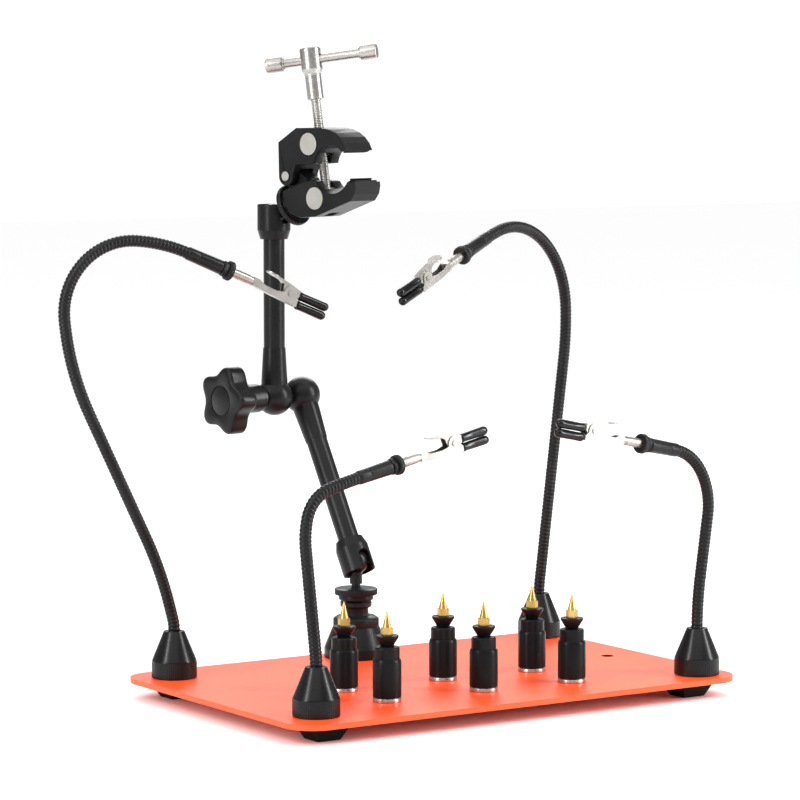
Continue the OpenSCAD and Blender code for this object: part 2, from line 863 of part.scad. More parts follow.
module sliding_bar() {
    half = bar_length / 2;
    color(nickel) at_clamp() rotate([-90, 0, 0]) translate([0, 0, bar_y]) rotate([0, 0, bar_turn])
        translate([bar_shift, 0, 0]) {
            bar_x(-half, half, bar_d);
            bar_x(-half, end_cap_length - half, end_cap_d);
            bar_x(half - end_cap_length, half, end_cap_d);
        }
}

// ---------------------------------------------------------------- parts

base_plate();
rubber_feet();
base_magnets();
post_magnets();
post_bodies();
post_springs();
post_heads();
post_spikes();
post_sleeve(0);  // post_sleeve_1
post_sleeve(1);  // post_sleeve_2
post_sleeve(2);  // post_sleeve_3
post_sleeve(3);  // post_sleeve_4
post_sleeve(4);  // post_sleeve_5
post_sleeve(5);  // post_sleeve_6
arm_cone(0);  // cone_a
gooseneck(0);  // gooseneck_a
thumb_nut(0);  // thumb_nut_a
lower_jaw(0);  // lower_jaw_a
lower_boot(0);  // lower_boot_a
upper_jaw(0);  // upper_jaw_a
upper_boot(0);  // upper_boot_a
arm_cone(1);  // cone_b
gooseneck(1);  // gooseneck_b
thumb_nut(1);  // thumb_nut_b
lower_jaw(1);  // lower_jaw_b
lower_boot(1);  // lower_boot_b
upper_jaw(1);  // upper_jaw_b
upper_boot(1);  // upper_boot_b
arm_cone(2);  // cone_c
gooseneck(2);  // gooseneck_c
thumb_nut(2);  // thumb_nut_c
lower_jaw(2);  // lower_jaw_c
lower_boot(2);  // lower_boot_c
upper_jaw(2);  // upper_jaw_c
upper_boot(2);  // upper_boot_c
arm_cone(3);  // cone_d
gooseneck(3);  // gooseneck_d
thumb_nut(3);  // thumb_nut_d
lower_jaw(3);  // lower_jaw_d
lower_boot(3);  // lower_boot_d
upper_jaw(3);  // upper_jaw_d
upper_boot(3);  // upper_boot_d
arm_base();
lower_lock_disc();
lower_ball_stud();
lower_link();
elbow_bolt();
elbow_knob();
upper_link();
upper_ball_stud();
upper_lock_disc();
clamp_lower_jaw();
clamp_upper_jaw();
lower_jaw_pad();
upper_jaw_pad();
clamp_pivot();
lower_barrel();
upper_barrel();
clamp_screw();
sliding_bar();
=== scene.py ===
"""Looks for the board-holding station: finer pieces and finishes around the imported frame."""

import json
import math

import bmesh
import bpy
from mathutils import Matrix, Vector


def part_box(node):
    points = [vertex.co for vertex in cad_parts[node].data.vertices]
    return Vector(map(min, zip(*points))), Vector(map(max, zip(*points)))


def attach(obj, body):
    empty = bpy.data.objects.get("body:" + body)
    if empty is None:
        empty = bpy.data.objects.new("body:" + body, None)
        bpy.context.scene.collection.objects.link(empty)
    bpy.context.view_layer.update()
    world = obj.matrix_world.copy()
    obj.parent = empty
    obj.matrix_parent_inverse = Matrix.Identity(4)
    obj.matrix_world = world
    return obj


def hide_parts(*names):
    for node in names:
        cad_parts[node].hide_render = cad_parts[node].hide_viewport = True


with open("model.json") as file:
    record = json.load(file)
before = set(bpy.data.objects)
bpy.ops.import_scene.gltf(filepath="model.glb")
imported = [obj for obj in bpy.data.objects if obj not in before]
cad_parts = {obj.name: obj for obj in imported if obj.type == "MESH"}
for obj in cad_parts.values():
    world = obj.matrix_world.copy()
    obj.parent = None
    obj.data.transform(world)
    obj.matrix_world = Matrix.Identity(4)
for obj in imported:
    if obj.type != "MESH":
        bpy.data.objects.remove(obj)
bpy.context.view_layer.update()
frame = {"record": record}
RECORD = frame["record"]
JOINTS = {joint["name"]: joint for joint in RECORD["behaviour"]["joints"]}
MM = 0.001
ARMS = "abcd"
PLATE_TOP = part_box("base_plate")[1][2]

# ---------------------------------------------------------------- materials

MATERIALS = {}


def node(tree, kind, **values):
    """Adds a shader node and sets its plain properties and inputs."""
    made = tree.nodes.new(kind)
    for key, value in values.items():
        if hasattr(made, key):
            setattr(made, key, value)
        else:
            made.inputs[key.replace("_", " ")].default_value = value
    return made


def finish_material(name, dark, light, rough, metallic=0.0, grain=900.0, bump=0.0, mottle=45.0,
                    coat=0.0, specular=0.5, wear=None, stretch=(1, 1, 1), bump_distance=0.0002):
    """A finish whose colour drifts between two tones, with grain in its gloss and its relief.

    rough is the lowest and highest roughness; wear is (colour, amount) for small rubbed spots.
    """
    material = bpy.data.materials.new(name)
    material.use_nodes = True
    tree = material.node_tree
    tree.nodes.clear()
    out = tree.nodes.new("ShaderNodeOutputMaterial")
    shader = node(tree, "ShaderNodeBsdfPrincipled", Metallic=metallic)
    shader.inputs["Specular IOR Level"].default_value = specular
    shader.inputs["Coat Weight"].default_value = coat
    shader.inputs["Coat Roughness"].default_value = 0.12
    tree.links.new(shader.outputs["BSDF"], out.inputs["Surface"])
    place = tree.nodes.new("ShaderNodeTexCoord")
    scaled = node(tree, "ShaderNodeMapping")
    scaled.inputs["Scale"].default_value = stretch
    tree.links.new(place.outputs["Object"], scaled.inputs["Vector"])

    broad = node(tree, "ShaderNodeTexNoise", Scale=mottle, Detail=3.0)
    fine = node(tree, "ShaderNodeTexNoise", Scale=grain, Detail=2.0)
    tree.links.new(place.outputs["Object"], broad.inputs["Vector"])
    tree.links.new(scaled.outputs["Vector"], fine.inputs["Vector"])

    tone = tree.nodes.new("ShaderNodeValToRGB")
    tone.color_ramp.elements[0].position = 0.3
    tone.color_ramp.elements[1].position = 0.7
    tone.color_ramp.elements[0].color = (*dark, 1)
    tone.color_ramp.elements[1].color = (*light, 1)
    tree.links.new(broad.outputs["Fac"], tone.inputs["Fac"])
    colour = tone.outputs["Color"]

    gloss = tree.nodes.new("ShaderNodeMapRange")
    gloss.inputs["From Min"].default_value = 0.3
    gloss.inputs["From Max"].default_value = 0.7
    gloss.inputs["To Min"].default_value = rough[0]
    gloss.inputs["To Max"].default_value = rough[1]
    tree.links.new(fine.outputs["Fac"], gloss.inputs["Value"])

    if wear:
        spots = node(tree, "ShaderNodeTexNoise", Scale=mottle * 7, Detail=6.0, Roughness=0.7)
        tree.links.new(place.outputs["Object"], spots.inputs["Vector"])
        mask = tree.nodes.new("ShaderNodeMapRange")
        mask.inputs["From Min"].default_value = 0.66
        mask.inputs["From Max"].default_value = 0.74
        mask.inputs["To Max"].default_value = wear[1]
        tree.links.new(spots.outputs["Fac"], mask.inputs["Value"])
        mix = node(tree, "ShaderNodeMix", data_type="RGBA")
        for socket in mix.inputs:
            if socket.name == "B" and socket.type == "RGBA":
                socket.default_value = (*wear[0], 1)
            if socket.name == "A" and socket.type == "RGBA":
                tree.links.new(colour, socket)
        tree.links.new(mask.outputs["Result"], mix.inputs["Factor"])
        colour = [o for o in mix.outputs if o.type == "RGBA"][0]
    if bump:
        relief = tree.nodes.new("ShaderNodeBump")
        relief.inputs["Strength"].default_value = bump
        relief.inputs["Distance"].default_value = bump_distance
        tree.links.new(fine.outputs["Fac"], relief.inputs["Height"])
        tree.links.new(relief.outputs["Normal"], shader.inputs["Normal"])
    tree.links.new(colour, shader.inputs["Base Color"])
    tree.links.new(gloss.outputs["Result"], shader.inputs["Roughness"])
    MATERIALS[name] = material


GREY_WEAR = ((0.10, 0.10, 0.105), 0.3)
finish_material("plate_paint", (0.86, 0.070, 0.012), (0.95, 0.092, 0.018), (0.36, 0.46), grain=1500,
                bump=0.22, mottle=14, specular=0.36, wear=((1.0, 0.16, 0.05), 0.25), bump_distance=0.00006)
finish_material("foot_rubber", (0.004, 0.004, 0.004), (0.009, 0.009, 0.009), (0.5, 0.7), grain=1800,
                bump=0.4, specular=0.09, wear=((0.02, 0.02, 0.02), 0.5), bump_distance=0.0001)
finish_material("magnet_nickel", (0.50, 0.47, 0.44), (0.62, 0.59, 0.56), (0.22, 0.34), metallic=1.0,
                grain=700, bump=0.05, stretch=(1, 1, 8), wear=((0.3, 0.28, 0.26), 0.4))
finish_material("post_black", (0.004, 0.004, 0.0045), (0.008, 0.008, 0.0085), (0.26, 0.38), grain=900,
                bump=0.06, stretch=(1, 1, 7), specular=0.12, wear=GREY_WEAR)
finish_material("spring_steel", (0.45, 0.45, 0.45), (0.62, 0.62, 0.62), (0.2, 0.35), metallic=1.0, bump=0.05)
finish_material("brass_point", (0.50, 0.32, 0.09), (0.66, 0.45, 0.15), (0.26, 0.38), metallic=1.0,
                grain=500, bump=0.04, wear=((0.38, 0.22, 0.07), 0.4))
finish_material("cone_black", (0.004, 0.004, 0.0045), (0.008, 0.008, 0.0085), (0.20, 0.30), grain=700,
                bump=0.05, stretch=(1, 1, 6), specular=0.19, wear=GREY_WEAR)
finish_material("hose_black", (0.004, 0.004, 0.0045), (0.010, 0.010, 0.0105), (0.22, 0.36), grain=1600,
                bump=0.2, specular=0.18, wear=((0.05, 0.05, 0.05), 0.4), bump_distance=0.00008)
finish_material("nut_black", (0.005, 0.005, 0.0055), (0.011, 0.011, 0.0115), (0.24, 0.36), grain=1200,
                bump=0.1, specular=0.18, wear=GREY_WEAR)
finish_material("clip_nickel", (0.30, 0.285, 0.265), (0.42, 0.40, 0.375), (0.32, 0.44), metallic=1.0,
                grain=1100, bump=0.1, mottle=90, wear=((0.30, 0.28, 0.26), 0.5))
finish_material("boot_black", (0.003, 0.003, 0.0035), (0.007, 0.007, 0.0075), (0.12, 0.22), grain=900,
                bump=0.06, specular=0.21, wear=((0.03, 0.03, 0.03), 0.4))
finish_material("arm_black", (0.005, 0.005, 0.0055), (0.010, 0.010, 0.0105), (0.26, 0.38), grain=1300,
                bump=0.08, specular=0.17, wear=GREY_WEAR)
finish_material("stud_black", (0.005, 0.005, 0.0055), (0.011, 0.011, 0.0115), (0.20, 0.32), grain=1200,
                bump=0.06, specular=0.18, wear=GREY_WEAR)
finish_material("disc_black", (0.005, 0.005, 0.0055), (0.011, 0.011, 0.0115), (0.24, 0.36), grain=1200,
                bump=0.08, specular=0.17, wear=GREY_WEAR)
finish_material("bolt_steel", (0.40, 0.40, 0.40), (0.58, 0.58, 0.58), (0.25, 0.38), metallic=1.0, bump=0.06)
finish_material("knob_black", (0.005, 0.005, 0.0055), (0.010, 0.010, 0.0105), (0.22, 0.34), grain=2200,
                bump=0.1, specular=0.18, wear=((0.04, 0.04, 0.04), 0.4), bump_distance=0.00006)
finish_material("jaw_black", (0.005, 0.005, 0.0055), (0.010, 0.010, 0.0105), (0.32, 0.44), grain=2000,
                bump=0.2, specular=0.15, wear=GREY_WEAR, bump_distance=0.00006)
finish_material("pad_rubber", (0.004, 0.004, 0.004), (0.009, 0.009, 0.009), (0.45, 0.62), grain=1500,
                bump=0.2, specular=0.15, wear=((0.03, 0.03, 0.03), 0.4))
finish_material("pivot_nickel", (0.40, 0.39, 0.36), (0.50, 0.49, 0.46), (0.38, 0.50), metallic=1.0,
                grain=1400, bump=0.1, wear=((0.34, 0.33, 0.31), 0.4))
finish_material("screw_nickel", (0.34, 0.325, 0.31), (0.46, 0.445, 0.42), (0.28, 0.40), metallic=1.0,
                grain=800, bump=0.06, wear=((0.30, 0.29, 0.27), 0.45))

# ---------------------------------------------------------------- mesh helpers


def new_piece(name, verts, faces, body, slot, replaces=(), smooth_angle=40.0):
    """Makes a closed mesh piece in the row frame, in its slot's finish, riding on a body."""
    mesh = bpy.data.meshes.new(name)
    mesh.from_pydata(verts, [], faces)
    made = bmesh.new()
    made.from_mesh(mesh)
    bmesh.ops.remove_doubles(made, verts=made.verts, dist=1e-7)
    bmesh.ops.recalc_face_normals(made, faces=made.faces)
    limit = math.radians(smooth_angle)
    for face in made.faces:
        face.smooth = True
    for edge in made.edges:
        if len(edge.link_faces) == 2 and edge.calc_face_angle(0) > limit:
            edge.smooth = False
    made.to_mesh(mesh)
    made.free()
    piece = bpy.data.objects.new(name, mesh)
    bpy.context.scene.collection.objects.link(piece)
    mesh.materials.append(MATERIALS[slot])
    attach(piece, body)
    if replaces:
        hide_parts(*replaces)
    return piece


def axes(origin, z, x=None):
    """A matrix that puts local +Z along z, and +X as near x as it can."""
    z = Vector(z).normalized()
    x = Vector(x) if x is not None else (Vector((1, 0, 0)) if abs(z.x) < 0.9 else Vector((0, 1, 0)))
    y = z.cross(x).normalized()
    x = y.cross(z)
    m = Matrix((x, y, z)).transposed().to_4x4()
    m.translation = Vector(origin)
    return m


def rounded(profile, radius, steps=3):
    """Rounds the corners between a profile's two ends, where no row there is knurled."""
    out = [profile[0]]
    for before, here, after in zip(profile, profile[1:], profile[2:]):
        p, q, s = (Vector((row[0], row[1])) for row in (before, here, after))
        a, b = p - q, s - q
        cut = min(radius, a.length * 0.4, b.length * 0.4)
        if cut < 1e-6 or a.length < 1e-9 or b.length < 1e-9 or here[2] or before[2] != after[2]:
            out.append(here)
            continue
        a, b = a.normalized() * cut, b.normalized() * cut
        for k in range(steps + 1):
            t = k / steps
            w = q + a * (1 - t) ** 2 + b * t ** 2
            out.append((w.x, w.y, 0))
    out.append(profile[-1])
    return out


def lathe_rows(profile, count, teeth=0):
    """Rings of points for rows of (r, z, knurl depth), with teeth cut to that depth."""
    rings = []
    for row in profile:
        radius, height, depth = row
        ring = []
        for k in range(count):
            turn = 2 * math.pi * k / count
            r = radius
            if depth and teeth:
                phase = (turn * teeth / (2 * math.pi)) % 1.0
                r -= depth * (1 - abs(2 * phase - 1))
            ring.append((r * math.cos(turn), r * math.sin(turn), height))
        rings.append(ring)
    return rings


def skin(rings, close_ends=True):
    """Faces between rings of equal length, with one flat face over each end."""
    verts = [point for ring in rings for point in ring]
    count = len(rings[0])
    faces = []
    for k in range(len(rings) - 1):
        for i in range(count):
            j = (i + 1) % count
            a, b = k * count, (k + 1) * count
            faces.append((a + i, a + j, b + j, b + i))
    if close_ends:
        faces.append(tuple(range(count))[::-1])
        last = (len(rings) - 1) * count
        faces.append(tuple(range(last, last + count)))
    return verts, faces


def lathe(name, profile, place, body, slot, replaces=(), count=64, teeth=0, soften=0.0,
          smooth_angle=40.0):
    """Turns rows of (radius, height, knurl depth) in mm about local +Z.

    A profile that ends where it starts makes a ring; any other gets its ends closed.
    """
    rows = [tuple(row) + (0,) * (3 - len(row)) for row in profile]
    if soften:
        rows = rounded(rows, soften)
    if teeth:
        count = teeth * 4
    closed = rows[0][:2] == rows[-1][:2]
    verts, faces = skin(lathe_rows([(max(r, 0.004), z, d) for r, z, d in rows], count, teeth), not closed)
    verts = [place @ (Vector(v) * MM) for v in verts]
    return new_piece(name, verts, faces, body, slot, replaces, smooth_angle)


def joint_frame(name):
    """The place of a joint as a matrix with +Z along its axis."""
    joint = JOINTS[name]
    return axes(joint["pos_m"], joint["axis"])


# ---------------------------------------------------------------- gooseneck arms

# The bends of each gooseneck above its cone, in mm and degrees, as in the CAD source
HOSE_BENDS = {
    "a": [[12, 0], [8, -14.5], [8.5, 0], [40.5, -10.5], [80, 0], [55.5, 20], [69.5, 99], [33, 19]],
    "b": [[12, 0], [8, -6.5], [56, 0], [16.5, 19.5], [22, 62], [21.5, 4]],
    "c": [[12, 0], [30, -9], [35, 0], [29.5, 46.5], [22.5, 41]],
    "d": [[12, 0], [8, -10.5], [137.5, 0], [30.5, 13], [33.5, 37], [68, 66], [11.5, 4.5]],
}
HOSE_START = 15.0
HOSE_R = 3.5
WIND_PITCH = 2.27
WIND_DEPTH = 0.55
FERRULE = 22.0


def hose_path(bends, step):
    """Points (x, z, heading in radians) along the bends, a step apart."""
    x, z, heading, points = 0.0, HOSE_START, 0.0, []
    for run, turn in bends:
        count = max(1, round(run / step))
        for _ in range(count):
            points.append((x, z, heading))
            middle = heading + math.radians(turn) / count / 2
            x += run / count * math.sin(middle)
            z += run / count * math.cos(middle)
            heading += math.radians(turn) / count
    points.append((x, z, heading))
    return points


def arm_frame(letter):
    """The arm's upright frame, with +X towards its clip."""
    across = -Vector(JOINTS[f"clip_{letter}_open"]["axis"])
    ahead = across.cross(Vector((0, 0, 1)))
    return axes(JOINTS[f"arm_{letter}_swivel"]["pos_m"], (0, 0, 1), ahead)


def clip_frame(letter):
    """+Z along the clip, +X towards its lever, from the end of the ferrule."""
    joint = JOINTS[f"clip_{letter}_roll"]
    along = Vector(joint["axis"])
    across = -Vector(JOINTS[f"clip_{letter}_open"]["axis"])
    return axes(joint["pos_m"], along, along.cross(across))


def hose(letter):
    """The wound hose: a round tube with one spiral groove."""
    base = arm_frame(letter)
    path = hose_path(HOSE_BENDS[letter], WIND_PITCH / 7)
    sides = 28
    travelled = 0.0
    rings = []
    for k, (x, z, heading) in enumerate(path):
        if k:
            travelled += math.hypot(x - path[k - 1][0], z - path[k - 1][1])
        ring = []
        for i in range(sides):
            turn = 2 * math.pi * i / sides
            wind = (travelled / WIND_PITCH + i / sides) % 1.0
            # a rounded ridge with a narrow groove
            groove = abs(2 * wind - 1) ** 3
            r = HOSE_R - WIND_DEPTH * groove
            out, side = r * math.cos(turn), r * math.sin(turn)
            ring.append((x + out * math.cos(heading), side, z - out * math.sin(heading)))
        rings.append(ring)
    verts, faces = skin(rings)
    verts = [base @ (Vector(v) * MM) for v in verts]
    new_piece(f"hose_{letter}", verts, faces, f"arm_{letter}", "hose_black", (f"gooseneck_{letter}",), 80.0)


def ferrule(letter):
    """The sleeve at the hose's end, and the knurled thumb nut on it."""
    place = clip_frame(letter)
    body = f"arm_{letter}"
    lathe(f"ferrule_{letter}",
          [(0, -FERRULE - 0.6), (3.5, -FERRULE - 0.6), (3.9, -FERRULE), (3.93, -FERRULE + 6),
           (3.75, -FERRULE + 6.4), (3.95, -FERRULE + 6.8), (4.12, -3.2), (4.2, -0.6), (3.9, 0),
           (2.06, 0), (2.06, -12.2), (0, -12.2)],
          place, body, "nut_black", soften=0.25, smooth_angle=35)
    lathe(f"nut_shell_{letter}",
          [(2.72, 0.45), (3.9, 0.45), (4.55, 0.9), (4.55, 1.2, 0.22), (4.55, 3.0, 0.22), (4.2, 3.5),
           (4.9, 3.5), (5.4, 3.75), (5.68, 4.1, 0.3), (5.68, 6.4, 0.3), (5.3, 6.85), (4.6, 6.98),
           (2.72, 6.98), (2.72, 0.45)],
          place, body, "nut_black", (f"thumb_nut_{letter}",), teeth=32, smooth_angle=32)


CONE_TEETH = 66
# How far each boot lies to the side of the clip's axis, and the rivet's half length
BOOT_OFFSETS = {"lower": -2.6, "upper": 2.75}
RIVET_HALF = 3.2


def cone(letter):
    """The knurled cone foot, hollow underneath for its magnet."""
    lathe(f"cone_shell_{letter}",
          [(0, 5.15), (10.06, 5.15), (10.06, 0.12), (12.5, 0.12), (12.95, 0.5), (13.0, 1.0, 0.16),
           (13.0, 9.0, 0.16), (12.9, 9.3), (12.98, 9.7), (12.7, 10.5), (6.25, 26.2), (5.85, 26.9),
           (5.5, 26.98), (3.75, 26.9), (3.7, 15.0), (0, 15.0)],
          arm_frame(letter), f"arm_{letter}", "cone_black", (f"cone_{letter}",), teeth=CONE_TEETH,
          smooth_angle=32)


def boot(letter, which):
    """A dipped rubber sleeve with a rolled rear lip and a blunt round nose."""
    body = f"clip_{letter}" if which == "lower" else f"jaw_{letter}"
    place = clip_frame(letter) @ Matrix.Translation(Vector((BOOT_OFFSETS[which], 0, 0)) * MM)
    profile = [(0, 52.2), (1.75, 52.2), (2.0, 51.65), (2.4, 51.75), (2.62, 52.2), (2.6, 52.9),
               (2.46, 53.6), (2.5, 60), (2.58, 66), (2.6, 68.4)]
    for k in range(1, 9):
        turn = math.pi / 2 * k / 8
        profile.append((2.6 * math.cos(turn), 68.75 + 2.65 * math.sin(turn)))
    lathe(f"{which}_boot_sleeve_{letter}", profile, place, body, "boot_black", (f"{which}_boot_{letter}",),
          count=32, smooth_angle=60)


def clip_trim(letter):
    """The seam rings on the clip's barrel and the round heads of its rivet."""
    place = clip_frame(letter)
    for at, r in ((11.4, 2.78), (15.2, 2.74)):
        lathe(f"barrel_ring_{letter}_{int(at)}",
              [(2.4, at), (r, at + 0.1), (r, at + 0.5), (2.4, at + 0.6), (2.4, at)],
              place, f"clip_{letter}", "clip_nickel", count=32)
    half = RIVET_HALF
    lathe(f"rivet_ring_{letter}",
          [(0, half - 1.4), (0.6, half - 1.4), (0.62, half + 0.1), (0.9, half + 0.22), (1.5, half + 0.12),
           (1.8, half - 0.3), (1.8, -half + 0.3), (1.5, -half - 0.12), (0.9, -half - 0.22),
           (0.62, -half - 0.1), (0.6, -half + 1.4), (0, -half + 1.4)],
          joint_frame(f"clip_{letter}_open"), f"clip_{letter}", "clip_nickel", count=32, smooth_angle=30)


for arm in ARMS:
    hose(arm)
    ferrule(arm)
    cone(arm)
    boot(arm, "lower")
    boot(arm, "upper")
    clip_trim(arm)

# ---------------------------------------------------------------- board posts

POSTS = 6
# How far each brass hex is turned, in degrees
HEX_TURN = 20

for number in range(1, POSTS + 1):
    node_name = f"post_sleeve_{number}"
    low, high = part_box(node_name)
    foot = Matrix.Translation(((low[0] + high[0]) / 2, (low[1] + high[1]) / 2, PLATE_TOP))
    lathe(f"sleeve_shell_{number}",
          [(3.92, 17.1), (6.98, 17.1), (6.98, 29.6), (6.9, 30.0), (6.4, 30.5), (4.4, 30.58), (3.92, 30.2),
           (3.92, 17.1)],
          foot, f"sleeve_{number}", "post_black", (node_name,), count=64, soften=0.15, smooth_angle=35)
    # the plated magnet, with a polished chamfer and a dark joint above it
    lathe(f"magnet_shell_{number}",
          [(0, 0.03), (7.7, 0.03), (7.95, 0.25), (7.98, 0.5), (7.98, 1.7), (7.9, 1.95), (7.55, 2.3),
           (7.4, 2.48), (0, 2.48)],
          foot, "base", "magnet_nickel", ("post_magnets",), count=64, smooth_angle=25)
    lathe(f"body_shell_{number}",
          [(0, 2.55), (7.7, 2.55), (7.98, 2.8), (7.98, 22.1), (7.9, 22.5), (7.6, 23.55), (7.4, 23.78),
           (7.1, 23.78), (7.1, 9.0), (0, 9.0)],
          foot, "base", "post_black", ("post_bodies",), count=72, smooth_angle=25)
    lathe(f"head_shell_{number}",
          [(0, 9.1), (2.5, 9.1), (2.5, 31.1), (3.6, 31.12), (3.75, 31.3), (6.35, 35.5), (6.5, 35.8),
           (6.5, 36.4), (6.35, 36.75), (6.1, 36.88), (0, 36.88)],
          foot, "base", "post_black", ("post_heads",), count=56, smooth_angle=35)
    turned = foot @ Matrix.Rotation(math.radians(HEX_TURN), 4, "Z")
    lathe(f"point_hex_{number}",
          [(0, 36.9), (3.3, 36.9), (3.46, 37.05), (3.46, 41.0), (3.2, 41.2), (0, 41.2)],
          turned, "base", "brass_point", ("post_spikes",), count=6, smooth_angle=10)
    lathe(f"point_cone_{number}",
          [(0, 41.1), (2.5, 41.1), (2.45, 41.7), (0.3, 50.4), (0, 50.6)],
          foot, "base", "brass_point", count=40, smooth_angle=35)

# a thin dark lining in the plate's hole: painted shade, standing in for the shadow inside the hole
HOLE_X_M = 0.1255
lathe("hole_shade_lining", [(3.70, -2.9), (3.74, -2.9), (3.74, -0.08), (3.70, -0.08), (3.70, -2.9)],
      Matrix.Translation((HOLE_X_M, 0, PLATE_TOP)), "base", "foot_rubber", count=48)

# ---------------------------------------------------------------- jointed arm


def lock_disc(which):
    """A knurled disc that locks a ball; only the lower one has a stepped flange under it."""
    place = joint_frame(f"{which}_disc_spin")
    if which == "upper":
        place = place @ Matrix.Rotation(math.pi, 4, "X")
    far, low = (23.4, 19.8) if which == "lower" else (19.7, 19.1)
    profile = [(2.75, -17.5), (2.75, -15.85), (8.0, -15.85), (11.9, -16.0), (12.6, -16.3),
               (12.78, -16.6, 0.3), (12.7, -low + 0.3, 0.3), (12.3, -low), (10.3, -low - 0.1)]
    if which == "lower":
        profile += [(10.3, -20.2), (10.45, -21.0), (10.45, -22.2), (10.0, -22.9), (8.9, -23.3)]
    else:
        profile += [(10.2, -19.6)]
    profile += [(3.3, -far), (3.3, -17.5), (2.75, -17.5)]
    lathe(f"{which}_lock_shell", profile, place, f"{which}_disc", "disc_black", (f"{which}_lock_disc",),
          teeth=54, smooth_angle=32)


lock_disc("lower")
lock_disc("upper")

base_centre = joint_frame("lower_disc_spin").translation
base_place = Matrix.Translation((base_centre.x, base_centre.y, PLATE_TOP))
lathe("arm_base_shell",
      [(0, 5.15), (15.06, 5.15), (15.06, 0.12), (18.6, 0.12), (18.95, 0.5), (18.95, 5.6), (18.7, 6.3),
       (13.8, 18.3), (13.3, 18.6), (13.3, 18.9), (13.6, 19.2, 0.22), (13.6, 22.8, 0.22), (13.4, 23.1),
       (11.2, 24.6), (8.0, 24.8), (7.6, 25.1), (7.35, 28.6), (7.8, 29.6), (9.0, 30.0), (9.4, 30.6),
       (9.4, 32.6), (9.0, 33.1), (3.26, 33.15), (3.26, 19.6), (0, 19.6)],
      base_place, "base", "arm_black", ("arm_base",), teeth=72, smooth_angle=32)

# The knob, in mm and degrees: its face's place along its axis, and how its lobes lie
KNOB_FACE = -62.0
KNOB_LOBES = 5
KNOB_PHASE = 15.0
KNOB_R = 20.6
KNOB_DIP = 4.9


def knob():
    """A star knob: rounded lobes, a ring round its cap, and a stepped hub."""
    spin = JOINTS["knob_spin"]
    place = axes(spin["pos_m"], spin["axis"], (0, 0, 1))
    count = 160

    def lobe(turn):
        # blunt lobes with broad dips between them
        wave = (1 + math.cos(KNOB_LOBES * (turn - math.radians(KNOB_PHASE)))) / 2
        return KNOB_R - KNOB_DIP * (1 - wave ** 1.2)

    rings = []

    def add_ring(height, inset=0.0, round_r=None):
        """One ring, height above the face: round, or along the lobes and inset from them."""
        points = []
        for k in range(count):
            turn = 2 * math.pi * k / count
            r = lobe(turn) - inset if round_r is None else round_r
            points.append((r * math.cos(turn), r * math.sin(turn), KNOB_FACE + height))
        rings.append(points)

    # cap, ring groove, face, rounded rim, lobed flank, back, hub
    for r, height in ((0.01, 0.25), (8.2, 0.25), (8.6, 0.45), (8.75, 1.1), (9.05, 1.1), (9.2, 0.35),
                      (9.7, 0.15)):
        add_ring(height, round_r=r)
    for inset, height in ((4.0, 0.12), (1.7, 0.3), (0.9, 0.6), (0.35, 1.1), (0.08, 1.8), (0.0, 2.6),
                          (0.0, 9.9), (0.1, 10.9), (0.45, 11.8), (1.1, 12.4), (2.2, 12.7)):
        add_ring(height, inset)
    for r, height in ((9.3, 12.8), (8.6, 13.2), (8.5, 14.0), (8.5, 27.4), (8.2, 27.6), (7.8, 27.8),
                      (7.8, 30.1), (7.5, 30.3), (3.1, 30.3), (3.1, 25.6), (0.01, 25.6)):
        add_ring(height, round_r=r)
    verts, faces = skin(rings)
    new_piece("star_knob", [place @ (Vector(v) * MM) for v in verts], faces, "knob", "knob_black",
              ("elbow_knob",), 38.0)


knob()

# ---------------------------------------------------------------- bar clamp

clamp_joint = JOINTS["lower_barrel_turn"]
CLAMP = axes(clamp_joint["pos_m"], clamp_joint["axis"],
             Vector(JOINTS["screw_turn"]["axis"]).cross(Vector(clamp_joint["axis"])))
SCREW = axes(clamp_joint["pos_m"], JOINTS["screw_turn"]["axis"])
# In mm along the screw from the lower barrel, or from its own axis
SCREW_R = 2.98
SCREW_PITCH = 1.0
THREAD_DEPTH = 0.42
BAR_HEIGHT = 81.5
BAR_HOLE_R = 2.76
BAR_R = 2.66
BAR_ENDS = (-27.2, 39.8)
# Half the width of the clamp's rubber strips and pads
PAD_HALF = 8.9


